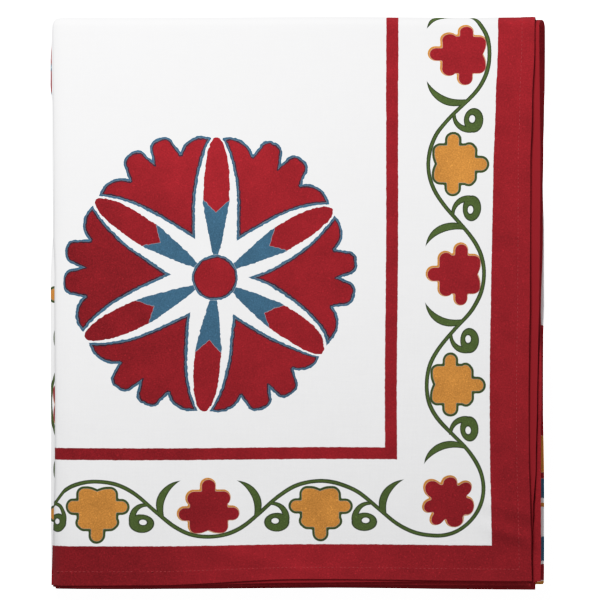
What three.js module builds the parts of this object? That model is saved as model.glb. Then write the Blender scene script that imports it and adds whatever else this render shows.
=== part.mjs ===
// Folded cotton tablecloth: one hemmed sheet, halved twice sideways and twice lengthwise.
// Millimetres, +Z up. Its folds lie at -X and +Y, its hems at +X and -Y, and it rests on its lowest panel.
import * as THREE from 'three';

// The sheet and the stack
const SHEET = 1.0;
const LAYER_GAP = 0.35;
const PITCH = SHEET + LAYER_GAP;
const HALF_SHEET = SHEET / 2;
const BASE_LIFT = PITCH / 2 - HALF_SHEET;
const PRINTED = 1;
const REVERSE = -1;

// Where the panels end lengthwise, before their folds
const OUTER_TOP = 218.9;
const INNER_TOP = 214.9;
const BOTTOM_NOSE = -218.2;

// Unevenness of the stack: half waves of its height and of its edges, and the corner where both folds meet
const SWELL = { share: 0.03, lengthX: 265, lengthY: 310, phaseX: 0.6, phaseY: -0.4 };
const SIDE_WANDER = { size: 0.5, length: 150, phase: 0 };
const END_WANDER = { size: 0.5, length: 150, phase: 1 };
const SOFT_CORNER = { x: -183, y: 213, radius: 14, share: 0.55 };

// Sideways fold, a row for each run of the cloth from its upper hem to its second hem.
// Heights and radii are in layer pitches from the middle of the four layers.
const SIDE_RUNS = [
  { kind: 'panel', height: 1.5, from: 'upperHem', to: 'left', steps: 8 },
  { kind: 'fold', height: 0, radius: 1.5, at: 'left', side: -1, rise: -1, steps: 5 },
  { kind: 'panel', height: -1.5, from: 'left', to: 'nose', steps: 5 },
  { kind: 'fold', height: -1, radius: 0.5, at: 'nose', side: 1, rise: 1, steps: 4 },
  { kind: 'panel', height: -0.5, from: 'nose', to: 'left', steps: 5 },
  { kind: 'fold', height: 0, radius: 0.5, at: 'left', side: -1, rise: 1, steps: 4 },
  { kind: 'panel', height: 0.5, from: 'left', to: 'secondHem', steps: 7 },
];

// Lengthwise fold of those four layers, from the front hem to the back hem.
// Heights and radii are in layer pitches from the ground; a reach is how far a pressed fold stands out.
const LENGTH_RUNS = [
  { kind: 'panel', height: 14, from: 'frontHem', to: 'outerTop', steps: 8 },
  { kind: 'fold', height: 8, radius: 6, reach: 3.5, at: 'outerTop', side: 1, rise: -1, steps: 7 },
  { kind: 'panel', height: 2, from: 'outerTop', to: 'bottomNose', steps: 6 },
  { kind: 'fold', height: 4, radius: 2, at: 'bottomNose', side: -1, rise: 1, steps: 6 },
  { kind: 'panel', height: 6, from: 'bottomNose', to: 'innerTop', steps: 6 },
  { kind: 'fold', height: 8, radius: 2, at: 'innerTop', side: 1, rise: 1, steps: 6 },
  { kind: 'panel', height: 10, from: 'innerTop', to: 'backHem', steps: 7 },
];

// Sideways edges of the panels, by the number of panels passed lengthwise since the front hem
const SIDE_EDGES = [
  { panels: 0.0, left: -191.6, upperHem: 182.9, nose: 187.0, secondHem: 191.5 },
  { panels: 0.5, left: -191.2, upperHem: 183.1, nose: 187.5, secondHem: 191.6 },
  { panels: 1.0, left: -191.3, upperHem: 187.0, nose: 188.0, secondHem: 191.8 },
  { panels: 1.3, left: -192.6, upperHem: 187.0, nose: 193.8, secondHem: 190.0 },
  { panels: 2.0, left: -193.2, upperHem: 186.0, nose: 194.0, secondHem: 189.0 },
  { panels: 2.7, left: -193.0, upperHem: 186.5, nose: 194.6, secondHem: 189.5 },
  { panels: 3.0, left: -192.0, upperHem: 193.2, nose: 189.0, secondHem: 195.6 },
  { panels: 3.4, left: -192.6, upperHem: 189.0, nose: 188.0, secondHem: 190.6 },
  { panels: 4.0, left: -192.4, upperHem: 186.4, nose: 187.0, secondHem: 189.0 },
];

// Lengthwise ends of the hems, by the number of panels passed sideways since the upper hem
const END_EDGES = [
  { panels: 0.0, frontHem: -219.6, backHem: -226.9 },
  { panels: 0.5, frontHem: -218.9, backHem: -226.3 },
  { panels: 0.8, frontHem: -222.9, backHem: -226.0 },
  { panels: 1.0, frontHem: -223.7, backHem: -226.4 },
  { panels: 2.0, frontHem: -223.0, backHem: -223.9 },
  { panels: 3.0, frontHem: -225.0, backHem: -226.1 },
  { panels: 3.5, frontHem: -221.8, backHem: -226.4 },
  { panels: 4.0, frontHem: -219.2, backHem: -224.6 },
];

// A column of an edge table at any point between its rows, eased from row to row
function edgeAt(table, column, panels) {
  const last = table.length - 1;
  const upper = Math.max(1, table.findIndex((row, index) => index === last || row.panels >= panels));
  const before = table[upper - 1];
  const after = table[upper];
  const share = THREE.MathUtils.smoothstep(panels, before.panels, after.panels);
  return THREE.MathUtils.lerp(before[column], after[column], share);
}

// Stations along a fold: the run, the share of it passed and the panels passed so far
function stationsOf(runs) {
  const stations = [];
  let panels = 0;
  runs.forEach((run, index) => {
    for (let step = index === 0 ? 0 : 1; step <= run.steps; step += 1) {
      const share = step / run.steps;
      stations.push({ run, share, panels: run.kind === 'panel' ? panels + share : panels });
    }
    panels += run.kind === 'panel' ? 1 : 0;
  });
  return stations;
}

// Point of a fold in its own plane, with the direction of travel there
function traceFold({ run, share }, edges) {
  if (run.kind === 'panel') {
    const from = edges(run.from);
    const to = edges(run.to);
    return {
      point: new THREE.Vector2(THREE.MathUtils.lerp(from, to, share), run.height * PITCH),
      travel: new THREE.Vector2(Math.sign(to - from), 0),
    };
  }
  const turn = share * Math.PI;
  const radius = run.radius * PITCH;
  const reach = (run.reach ?? run.radius) * PITCH * run.side;
  return {
    point: new THREE.Vector2(
      edges(run.at) + reach * Math.sin(turn),
      run.height * PITCH - run.rise * radius * Math.cos(turn),
    ),
    travel: new THREE.Vector2(reach * Math.cos(turn), run.rise * radius * Math.sin(turn)).normalize(),
  };
}

// Half waves along a length, from -1 to 1
function wave(distance, length, phase) {
  return Math.sin(distance / length * Math.PI + phase);
}

// The stack settles unevenly: it swells and sinks a little, its edges wander, and one corner is worn round
function settle(point) {
  const swell = 1 + SWELL.share * wave(point.x, SWELL.lengthX, SWELL.phaseX)
    * wave(point.y, SWELL.lengthY, SWELL.phaseY);
  const wanderX = SIDE_WANDER.size * wave(point.y, SIDE_WANDER.length, SIDE_WANDER.phase);
  const wanderY = END_WANDER.size * wave(point.x, END_WANDER.length, END_WANDER.phase);
  const { x, y, radius, share } = SOFT_CORNER;
  const across = THREE.MathUtils.clamp((x - point.x) / radius, 0, 1);
  const along = THREE.MathUtils.clamp((point.y - y) / radius, 0, 1);
  const pullX = share * radius * across * (1 - Math.sqrt(1 - along * along / 2));
  const pullY = share * radius * along * (1 - Math.sqrt(1 - across * across / 2));
  return point.set(point.x + wanderX + pullX, point.y + wanderY - pullY, point.z * swell);
}

// A point of the cloth, on its printed face or on its reverse
function clothPoint(sideStation, lengthStation, face) {
  const sideEdge = (name) => edgeAt(SIDE_EDGES, name, lengthStation.panels);
  const section = traceFold(sideStation, sideEdge);
  const across = section.point.x + face * HALF_SHEET * section.travel.y;
  const height = section.point.y - face * HALF_SHEET * section.travel.x;

  const ends = { outerTop: OUTER_TOP, innerTop: INNER_TOP, bottomNose: BOTTOM_NOSE };
  const lengthEdge = (name) => ends[name] ?? edgeAt(END_EDGES, name, sideStation.panels);
  const length = traceFold(lengthStation, lengthEdge);
  const along = length.point.x - height * length.travel.y;
  const level = length.point.y + height * length.travel.x - BASE_LIFT;
  return settle(new THREE.Vector3(across, along, level));
}

// Whole numbers from zero
function countTo(length) {
  return Array.from({ length }, (_, index) => index);
}

// Border of a lattice, once round, as pairs of column and row
function borderOf(columns, rows) {
  const lastColumn = columns - 1;
  const lastRow = rows - 1;
  return [
    ...countTo(lastColumn).map((step) => [step, 0]),
    ...countTo(lastRow).map((step) => [lastColumn, step]),
    ...countTo(lastColumn).map((step) => [lastColumn - step, lastRow]),
    ...countTo(lastRow).map((step) => [0, lastRow - step]),
  ];
}

// Closed sheet: a lattice for each face of the cloth, joined by a rim along its four hems
function foldedSheet() {
  const sides = stationsOf(SIDE_RUNS);
  const lengths = stationsOf(LENGTH_RUNS);
  const columns = sides.length;
  const rows = lengths.length;
  const points = [PRINTED, REVERSE].flatMap((face) => (
    lengths.flatMap((length) => sides.map((side) => clothPoint(side, length, face)))
  ));

  const printed = ([column, row]) => row * columns + column;
  const reverse = (place) => columns * rows + printed(place);
  const triangles = [];
  const quad = (a, b, c, d) => triangles.push(a, b, c, a, c, d);
  for (let row = 0; row < rows - 1; row += 1) {
    for (let column = 0; column < columns - 1; column += 1) {
      const cell = [[column, row], [column, row + 1], [column + 1, row + 1], [column + 1, row]];
      quad(...cell.map(printed));
      quad(...cell.reverse().map(reverse));
    }
  }
  const border = borderOf(columns, rows);
  border.forEach((place, index) => {
    const next = border[(index + 1) % border.length];
    quad(printed(place), printed(next), reverse(next), reverse(place));
  });

  const geometry = new THREE.BufferGeometry().setFromPoints(points);
  geometry.setIndex(triangles);
  geometry.computeBoundingBox();
  const middle = geometry.boundingBox.getCenter(new THREE.Vector3());
  geometry.translate(-middle.x, -middle.y, -geometry.boundingBox.min.z);
  geometry.computeVertexNormals();
  return geometry;
}

const cotton = new THREE.MeshStandardMaterial({ color: 0xefece7, roughness: 0.92, metalness: 0 });

const tablecloth = new THREE.Mesh(foldedSheet(), cotton);
tablecloth.name = 'tablecloth';

const part = new THREE.Group();
part.add(tablecloth);

export default part;
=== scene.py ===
"""Folded printed cotton tablecloth: the cloth, its sewing, its print and a plain studio."""

import logging
import math
from dataclasses import dataclass, field
from enum import Enum
from typing import Mapping, Sequence

import bmesh
import bpy
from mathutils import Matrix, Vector


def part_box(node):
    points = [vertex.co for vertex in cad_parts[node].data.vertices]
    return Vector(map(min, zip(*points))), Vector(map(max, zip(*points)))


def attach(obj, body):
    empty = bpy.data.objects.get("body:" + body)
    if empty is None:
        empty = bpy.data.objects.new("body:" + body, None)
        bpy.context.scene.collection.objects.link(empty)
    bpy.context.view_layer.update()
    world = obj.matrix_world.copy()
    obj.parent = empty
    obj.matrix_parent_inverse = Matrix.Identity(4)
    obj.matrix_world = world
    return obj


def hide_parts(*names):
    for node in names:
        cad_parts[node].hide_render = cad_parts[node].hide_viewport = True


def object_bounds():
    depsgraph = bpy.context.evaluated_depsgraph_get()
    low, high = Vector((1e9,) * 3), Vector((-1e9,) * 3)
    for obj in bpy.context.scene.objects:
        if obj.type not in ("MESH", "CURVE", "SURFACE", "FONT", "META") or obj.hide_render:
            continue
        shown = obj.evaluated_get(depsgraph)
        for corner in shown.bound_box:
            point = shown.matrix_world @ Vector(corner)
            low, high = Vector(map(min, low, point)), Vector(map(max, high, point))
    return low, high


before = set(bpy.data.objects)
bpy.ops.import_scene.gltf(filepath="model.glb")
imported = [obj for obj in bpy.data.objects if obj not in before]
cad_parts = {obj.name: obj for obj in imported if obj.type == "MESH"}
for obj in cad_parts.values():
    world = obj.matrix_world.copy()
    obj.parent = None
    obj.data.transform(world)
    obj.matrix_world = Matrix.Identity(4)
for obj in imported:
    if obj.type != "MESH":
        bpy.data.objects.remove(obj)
CAD_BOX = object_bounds()

MM = 0.001
BODY = "root"
CLOTH_NODE = "tablecloth"
FLAT_MAP = "Flat"
BAKE_MAP = "OFBake"
PANELS = 4
SOFT_RIM = 0.3
WHITE = (1.0, 1.0, 1.0, 1.0)
LOG = logging.getLogger("tablecloth")
Pair = tuple[float, float]
Triple = tuple[float, float, float]


class Face(Enum):
    """The two faces of the cloth, by the sign of their offset from its middle."""

    PRINTED = 1
    REVERSE = -1


class RunKind(Enum):
    """A run of a folded path is a flat panel or a half turn."""

    PANEL = "panel"
    FOLD = "fold"


def unit(value: float) -> float:
    """Holds a value between 0 and 1."""
    return min(max(value, 0.0), 1.0)


def ease(value: float, start: float, end: float) -> float:
    """Soft step from 0 at start to 1 at end.

    Args:
        value: Where the step is read.
        start: Where it leaves 0.
        end: Where it reaches 1.

    Returns:
        The height of the step, from 0 to 1.
    """
    share = unit((value - start) / (end - start))
    return share * share * (3.0 - 2.0 * share)


def wave(distance: float, length: float, phase: float) -> float:
    """Half waves of a given length along a distance, from -1 to 1."""
    return math.sin(distance / length * math.pi + phase)


@dataclass(frozen=True)
class Run:
    """One run of a folded path, in layer pitches, with the edges that it starts from and ends at."""

    kind: RunKind
    height: float
    start: str
    end: str
    steps: int
    radius: float = 0.0
    reach: float = 0.0
    side: int = 0
    rise: int = 0


@dataclass(frozen=True)
class Station:
    """A place along a fold: its run, the share of that passed, the panels passed and the flat distance."""

    run: Run
    share: float
    panels: float
    flat: float


@dataclass(frozen=True)
class EdgeTable:
    """Places of the panels' edges in millimetres, by the panels passed along the other fold.

    The cloth lies at ease at the reference; grip is how fast a panel leaves the pull of its first edge.
    """

    columns: tuple[str, ...]
    rows: tuple[tuple[float, ...], ...]
    reference: float
    grip: float

    def at(self, column: str, panels: float) -> float:
        """Reads a column between its rows, eased from row to row.

        Args:
            column: The edge's name.
            panels: The number of panels passed.

        Returns:
            The edge's place in millimetres.
        """
        place = self.columns.index(column)
        after = next((i for i, row in enumerate(self.rows) if row[0] >= panels), len(self.rows) - 1)
        after = max(after, 1)
        low, high = self.rows[after - 1], self.rows[after]
        share = ease(panels, low[0], high[0])
        return low[place] + (high[place] - low[place]) * share

    def at_ease(self, column: str) -> float:
        """Place of an edge where the cloth lies at ease."""
        return self.at(column, self.reference)


def panel(height: float, start: str, end: str, steps: int) -> Run:
    """A flat run between two edges."""
    return Run(RunKind.PANEL, height, start, end, steps)


def turn(height: float, edge: str, radius: float, side: int, rise: int, steps: int,
         reach: float = 0.0) -> Run:
    """A half turn past an edge; a reach other than the radius presses it flatter."""
    return Run(RunKind.FOLD, height, edge, edge, steps, radius, reach or radius, side, rise)


# Sideways fold from the upper hem to the second hem, in pitches from the middle of its four layers
SIDE_RUNS = (
    panel(1.5, "upper_hem", "left", 62),
    turn(0.0, "left", 1.5, -1, -1, 10),
    panel(-1.5, "left", "nose", 20),
    turn(-1.0, "nose", 0.5, 1, 1, 8),
    panel(-0.5, "nose", "left", 16),
    turn(0.0, "left", 0.5, -1, 1, 8),
    panel(0.5, "left", "second_hem", 26),
)
# Lengthwise fold of those layers from the front hem to the back hem, in pitches from the ground
LENGTH_RUNS = (
    panel(14.0, "front_hem", "outer_top", 76),
    turn(8.0, "outer_top", 6.0, 1, -1, 16, reach=3.5),
    panel(2.0, "outer_top", "bottom_nose", 34),
    turn(4.0, "bottom_nose", 2.0, -1, 1, 12),
    panel(6.0, "bottom_nose", "inner_top", 20),
    turn(8.0, "inner_top", 2.0, 1, 1, 12),
    panel(10.0, "inner_top", "back_hem", 26),
)
TOP_SIDE, SIDE_FOLD, NOSE_FOLD, SECOND_SIDE = (SIDE_RUNS[place] for place in (0, 1, 3, -1))
NOSE_RUNS = SIDE_RUNS[2:5]
TOP_LENGTH, BOTTOM_FOLD, INNER_LENGTH, BACK_LENGTH = (LENGTH_RUNS[place] for place in (0, 3, 4, -1))
SIDE_EDGES = EdgeTable(
    ("panels", "left", "upper_hem", "nose", "second_hem"),
    (
        (0.00, -193.7, 184.0, 181.5, 183.2),
        (0.06, -192.8, 183.6, 181.8, 184.0),
        (0.13, -191.2, 183.2, 182.4, 185.6),
        (0.21, -190.0, 182.6, 183.0, 188.0),
        (0.33, -189.6, 182.5, 184.5, 189.3),
        (0.42, -190.1, 182.7, 186.0, 189.9),
        (0.50, -190.6, 183.0, 187.0, 190.4),
        (0.56, -190.8, 182.8, 187.2, 190.5),
        (0.63, -192.6, 182.8, 187.3, 190.7),
        (0.75, -192.9, 183.0, 187.5, 191.0),
        (0.85, -192.6, 184.8, 188.0, 191.1),
        (0.97, -192.6, 187.2, 188.0, 191.0),
        (1.00, -192.6, 187.4, 188.0, 191.0),
        (1.03, -191.4, 189.5, 188.5, 196.5),
        (1.10, -191.4, 189.0, 189.5, 196.2),
        (1.15, -191.4, 188.6, 189.8, 195.4),
        (1.22, -191.4, 188.0, 190.2, 194.5),
        (1.32, -191.5, 187.0, 190.6, 193.6),
        (1.45, -191.8, 186.5, 191.2, 191.8),
        (1.60, -192.0, 186.0, 192.0, 189.5),
        (2.00, -193.2, 186.0, 192.5, 189.0),
        (2.03, -194.1, 186.0, 193.5, 189.0),
        (2.10, -194.2, 186.0, 193.8, 189.0),
        (2.18, -193.8, 186.0, 194.1, 189.0),
        (2.25, -193.5, 186.0, 193.9, 189.0),
        (2.29, -193.4, 186.1, 193.6, 189.1),
        (2.45, -193.7, 186.2, 193.5, 189.2),
        (2.49, -194.0, 186.2, 194.2, 189.2),
        (2.56, -194.4, 186.3, 193.8, 189.3),
        (2.60, -193.6, 186.4, 193.7, 189.4),
        (2.64, -192.0, 186.4, 193.6, 189.5),
        (2.68, -191.7, 186.4, 193.0, 189.5),
        (2.73, -191.5, 186.5, 191.4, 189.5),
        (2.84, -191.6, 187.0, 190.0, 190.0),
        (2.90, -194.2, 188.0, 189.7, 190.0),
        (2.93, -193.6, 188.2, 189.5, 190.0),
        (2.96, -194.1, 188.6, 189.2, 190.0),
        (3.00, -192.4, 189.0, 189.0, 190.0),
        (3.16, -190.8, 188.6, 188.3, 190.5),
        (3.22, -190.7, 188.5, 188.1, 192.2),
        (3.28, -190.6, 188.4, 187.8, 193.4),
        (3.40, -190.2, 188.1, 187.1, 193.3),
        (3.45, -189.3, 188.0, 186.8, 192.4),
        (3.50, -188.6, 187.9, 186.5, 192.2),
        (3.64, -188.4, 187.6, 184.5, 193.0),
        (3.76, -188.4, 187.5, 183.5, 192.1),
        (3.90, -188.6, 187.5, 182.5, 191.6),
        (4.00, -190.4, 187.5, 182.0, 191.1),
    ),
    reference=0.5,
    grip=4.0,
)
END_EDGES = EdgeTable(
    ("panels", "front_hem", "back_hem", "outer_top", "inner_top", "bottom_nose"),
    (
        (0.00, -219.6, -226.9, 219.9, 214.9, -218.2),
        (0.05, -219.6, -226.8, 219.7, 214.9, -218.2),
        (0.14, -219.5, -226.7, 218.9, 214.9, -218.2),
        (0.50, -218.9, -226.3, 218.9, 214.9, -218.2),
        (0.80, -222.9, -226.0, 219.2, 214.9, -218.2),
        (1.00, -223.7, -226.4, 219.0, 214.9, -218.2),
        (2.00, -223.0, -223.9, 218.9, 214.9, -220.6),
        (3.00, -225.0, -226.1, 218.9, 214.9, -218.2),
        (3.50, -221.8, -226.4, 218.9, 214.9, -218.2),
        (3.95, -219.6, -224.0, 218.9, 214.9, -218.2),
        (4.00, -219.2, -219.5, 218.9, 214.9, -218.2),
    ),
    reference=0.0,
    grip=25.0,
)


@dataclass(frozen=True)
class Crease:
    """A soft trough or ridge on the top panel, in millimetres from the side hem and the front hem."""

    side: float
    end: float
    angle: float
    length: float
    width: float
    rise: float

    def height(self, side: float, end: float) -> float:
        """Height of the crease at a place on the panel.

        Args:
            side: Distance from the side hem.
            end: Distance from the front hem.

        Returns:
            The rise there, in millimetres.
        """
        across, along = side - self.side, end - self.end
        turned = math.radians(self.angle)
        run = along * math.cos(turned) + across * math.sin(turned)
        off = across * math.cos(turned) - along * math.sin(turned)
        return self.rise * math.exp(-((run / self.length) ** 2) - (off / self.width) ** 2)


@dataclass(frozen=True)
class Ripple:
    """A share that rises and sinks along a hem, in half waves about its mean."""

    mean: float
    size: float
    length: float
    phase: float

    def at(self, distance: float) -> float:
        """The share at a distance along the hem."""
        return self.mean + self.size * wave(distance, self.length, self.phase)


@dataclass
class FoldedCloth:
    """The cotton sheet, halved twice sideways and twice lengthwise, with its turned hem."""

    pitch: float = 1.35
    fold_drift: float = 0.03
    half_thickness: float = 0.34
    hem_extra: float = 0.16
    hem_width: float = 9.8
    hem_step: Pair = (0.7, -0.5)
    hem_marks: tuple[float, ...] = (0.5, 1.6, 3.6, 6.2, 8.4, 9.4, 10.2, 11.4, 14.0, 18.0)
    crease_marks: tuple[float, ...] = (
        20.8, 23.6, 26.4, 29.4, 32.4, 35.6, 38.8, 42.0, 45.2, 48.4, 52.0, 56.0, 60.0,
    )
    mark_room: float = 1.03
    far_grip: float = 2.5
    swell: float = 0.03
    swell_length: Pair = (265.0, 310.0)
    swell_phase: Pair = (0.6, -0.4)
    wander: float = 0.5
    wander_length: float = 150.0
    wander_phase: Pair = (0.0, 1.0)
    corner: Pair = (-183.0, 213.0)
    corner_radius: float = 14.0
    corner_share: float = 0.55
    edge_press: float = 0.55
    edge_press_from: float = -184.0
    edge_press_width: float = 10.5
    edge_press_most: float = 0.98
    round_length: float = 6.0
    round_width: float = 12.0
    round_power: float = 2.5
    side_lift: float = 0.9
    side_ripple: Ripple = Ripple(0.8, 0.35, 83.0, 0.4)
    end_lift: float = 0.5
    end_ripple: Ripple = Ripple(0.75, 0.4, 120.0, 1.1)
    top_fade: float = 0.9
    front_lift: float = 0.8
    front_ramp: Pair = (-1.0, 1.5)
    lift_width: float = 22.0
    second_lift: float = 1.0
    second_ramp: Pair = (0.8, 3.0)
    third_lift: float = 7.0
    third_span: Pair = (3.48, 3.6)
    third_ramp: Pair = (-3.0, 1.5)
    nose_lift: float = 4.5
    nose_span: Pair = (4.5, 1.0)
    nose_fade: Pair = (0.03, 0.8)
    pucker: float = 0.10
    pucker_length: float = 7.5
    seam_width: float = 6.0
    bake_top: Pair = (0.7, 0.62)
    bake_printed: Pair = (0.005, 0.88)
    bake_reverse: Pair = (0.905, 0.09)
    bake_length: Pair = (0.005, 0.99)
    creases: tuple[Crease, ...] = (
        Crease(18.0, 57.0, 76.0, 17.0, 5.5, 1.6),
        Crease(15.0, 37.0, 74.0, 16.0, 5.5, 2.4),
        Crease(24.0, 135.0, 3.0, 34.0, 6.0, 0.9),
        Crease(13.0, 210.0, 8.0, 26.0, 5.0, 0.7),
        Crease(25.0, 300.0, -10.0, 30.0, 6.0, 0.7),
        Crease(300.0, 9.0, -40.0, 13.0, 5.0, 2.0),
        Crease(343.0, 20.0, 8.0, 13.0, 5.5, 0.9),
        Crease(215.0, 16.0, 76.0, 40.0, 5.5, 0.9),
        Crease(120.0, 330.0, -12.0, 120.0, 26.0, -0.35),
        Crease(260.0, 90.0, 70.0, 110.0, 24.0, -0.3),
        Crease(300.0, 380.0, 18.0, 90.0, 22.0, 0.3),
        Crease(70.0, 210.0, 4.0, 90.0, 18.0, 0.25),
        Crease(330.0, 30.0, 64.0, 40.0, 10.0, 0.35),
    )
    sides: list[Station] = field(init=False)
    lengths: list[Station] = field(init=False)
    width: float = field(init=False)
    length: float = field(init=False)
    sheet_width: float = field(init=False)
    side_fold: float = field(init=False)
    nose: float = field(init=False)
    shift: Vector = field(default_factory=Vector)

    def __post_init__(self) -> None:
        """Works out the stations of both folds and the flat size of the cloth."""
        self.sides = self.stations(SIDE_RUNS, SIDE_EDGES)
        self.lengths = self.stations(LENGTH_RUNS, END_EDGES)
        self.width = self.sides[-1].flat
        self.length = self.lengths[-1].flat
        self.sheet_width = self.width + 2.0 * self.round_length
        self.side_fold = next(s.flat for s in self.sides if s.run is SIDE_FOLD)
        self.nose = next(s.flat for s in self.sides if s.run is NOSE_FOLD and s.share >= 0.5)

    def stations(self, runs: Sequence[Run], table: EdgeTable) -> list[Station]:
        """Lists the stations of a fold, closer together beside the hems.

        Args:
            runs: The runs of the fold, in order.
            table: The edges of the fold.

        Returns:
            The stations from the first hem to the last.
        """
        found: list[Station] = []
        passed, flat = 0, 0.0
        for place, run in enumerate(runs):
            is_panel = run.kind is RunKind.PANEL
            across = abs(table.at_ease(run.end) - table.at_ease(run.start))
            size = across if is_panel else math.pi * run.radius * self.pitch
            shares = {step / run.steps for step in range(run.steps + 1)}
            if place == 0:
                shares = self.beside_hem(shares, size, self.hem_marks + self.crease_marks)
            if place == len(runs) - 1:
                shares = {1.0 - share for share in self.beside_hem(shares, size, self.hem_marks)}
            first = self.fold_drift if passed else 0.0
            for share in sorted(shares):
                if found and share == 0.0:
                    continue
                panels = passed + (max(share, first) if is_panel else self.fold_drift * share)
                found.append(Station(run, share, panels, flat + share * size))
            passed += 1 if is_panel else 0
            flat += size
        return found

    def beside_hem(self, shares: set[float], size: float, marks: Sequence[float]) -> set[float]:
        """Puts closer marks in place of the even steps next to a hem.

        Args:
            shares: Even shares of the panel.
            size: The panel's length in millimetres.
            marks: The marks, in millimetres from the hem.

        Returns:
            The shares, counted from the hem.
        """
        last = marks[-1] / size
        return {0.0} | {mark / size for mark in marks} | {s for s in shares if s > last * self.mark_room}

    def trace(self, station: Station, table: EdgeTable, panels: float) -> tuple[Vector, Vector]:
        """Point of a fold in its own plane, with the direction of travel there.

        Args:
            station: The place along the fold.
            table: The edges of the fold.
            panels: The panels passed along the other fold.

        Returns:
            The point and the unit direction, both in the plane of the fold.
        """
        run, share = station.run, station.share
        start, end = table.at(run.start, panels), table.at(run.end, panels)
        if run.kind is RunKind.PANEL:
            low, high = table.at_ease(run.start), table.at_ease(run.end)
            along = low + (high - low) * share
            along += (start - low) * (1.0 - share) ** table.grip
            along += (end - high) * share ** (table.grip * self.far_grip)
            travel = Vector((math.copysign(1.0, high - low), 0.0))
            return Vector((along, run.height * self.pitch)), travel
        angle = share * math.pi
        radius = run.radius * self.pitch
        reach = run.reach * self.pitch * run.side
        point = Vector((
            start + reach * math.sin(angle),
            run.height * self.pitch - run.rise * radius * math.cos(angle),
        ))
        travel = Vector((reach * math.cos(angle), run.rise * radius * math.sin(angle)))
        return point, travel.normalized()

    def hem_distance(self, side: Station, length: Station) -> float:
        """Flat distance from a place to the nearest hem, in millimetres."""
        across = min(side.flat, self.width - side.flat)
        along = min(length.flat, self.length - length.flat)
        return min(across, along)

    def lift(self, side: Station, length: Station) -> float:
        """How far a panel stands off the stack where nothing presses on it.

        Args:
            side: Place along the sideways fold.
            length: Place along the lengthwise fold.

        Returns:
            The lift in millimetres, zero on covered panels.
        """
        if side.run is TOP_SIDE and length.run is TOP_LENGTH:
            return self.top_lift(side, length)
        if length.run is INNER_LENGTH and side.run in NOSE_RUNS:
            start, end = self.nose_fade
            fade = ease(length.share, 0.0, start) * ease(length.share, 1.0, end)
            return self.nose_lift * fade * ease(abs(side.flat - self.nose), *self.nose_span)
        if side.run is SECOND_SIDE:
            return max(self.front_rise(side, length), self.side_rise(side, length), key=abs)
        return 0.0

    def front_rise(self, side: Station, length: Station) -> float:
        """How far the second layer's front hem springs up where the top layer leaves it bare.

        Args:
            side: Place along the sideways fold.
            length: Place along the lengthwise fold.

        Returns:
            The rise in millimetres.
        """
        if length.run is not TOP_LENGTH or length.flat >= self.lift_width:
            return 0.0
        bare = END_EDGES.at("front_hem", PANELS - side.panels) - END_EDGES.at("front_hem", side.panels)
        return self.front_lift * ease(bare - length.flat, *self.front_ramp)

    def side_rise(self, side: Station, length: Station) -> float:
        """How far a second side hem stands off where the layer next to it leaves it bare.

        Args:
            side: Place along the sideways fold.
            length: Place along the lengthwise fold.

        Returns:
            The rise in millimetres, negative on the back panel, which lies face down.
        """
        from_hem = self.width - side.flat
        edge = SIDE_EDGES.at("second_hem", length.panels)
        if length.run is TOP_LENGTH:
            bare = edge - SIDE_EDGES.at("upper_hem", length.panels)
            return self.second_lift * ease(bare - from_hem, *self.second_ramp)
        if length.run is BACK_LENGTH:
            bare = edge - SIDE_EDGES.at("second_hem", PANELS - length.panels)
            reach = self.third_lift * ease(length.panels, *self.third_span)
            return -reach * ease(bare - from_hem, *self.third_ramp)
        return 0.0

    def top_lift(self, side: Station, length: Station) -> float:
        """How far the top panel stands off: its hems spring up a little and it keeps soft creases.

        Args:
            side: Place along the sideways fold.
            length: Place along the lengthwise fold.

        Returns:
            The lift in millimetres.
        """
        across, along = side.flat, length.flat
        fade = ease(side.share, 1.0, self.top_fade) * ease(length.share, 1.0, self.top_fade)
        near_side = max(1.0 - across / self.lift_width, 0.0) ** 2
        near_end = max(1.0 - along / self.lift_width, 0.0) ** 2
        rise = self.side_lift * near_side * self.side_ripple.at(along)
        rise += self.end_lift * near_end * self.end_ripple.at(across)
        seam = math.exp(-((self.hem_distance(side, length) - self.hem_width) / self.seam_width) ** 2)
        rise += self.pucker * seam * math.sin((across + along) / self.pucker_length * math.tau)
        rise += sum(crease.height(across, along) for crease in self.creases)
        return rise * fade

    def settle(self, point: Vector) -> Vector:
        """Lets the stack settle: it swells, its edges wander, its folds press flat and one corner is round.

        Args:
            point: A place on the evenly folded cloth, in millimetres.

        Returns:
            The place after settling, in millimetres.
        """
        swell = wave(point.x, self.swell_length[0], self.swell_phase[0])
        swell *= wave(point.y, self.swell_length[1], self.swell_phase[1])
        near = (self.edge_press_from - point.x) / self.edge_press_width
        near = min(max(near, 0.0), self.edge_press_most)
        press = self.edge_press * (1.0 - math.sqrt(1.0 - near * near))
        side = self.wander * wave(point.y, self.wander_length, self.wander_phase[0])
        end = self.wander * wave(point.x, self.wander_length, self.wander_phase[1])
        across = unit((self.corner[0] - point.x) / self.corner_radius)
        along = unit((point.y - self.corner[1]) / self.corner_radius)
        pull = self.corner_share * self.corner_radius
        side += pull * across * (1.0 - math.sqrt(1.0 - along * along / 2.0))
        end -= pull * along * (1.0 - math.sqrt(1.0 - across * across / 2.0))
        height = point.z * (1.0 + self.swell * swell) * (1.0 - press)
        return Vector((point.x + side, point.y + end, height))

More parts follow.
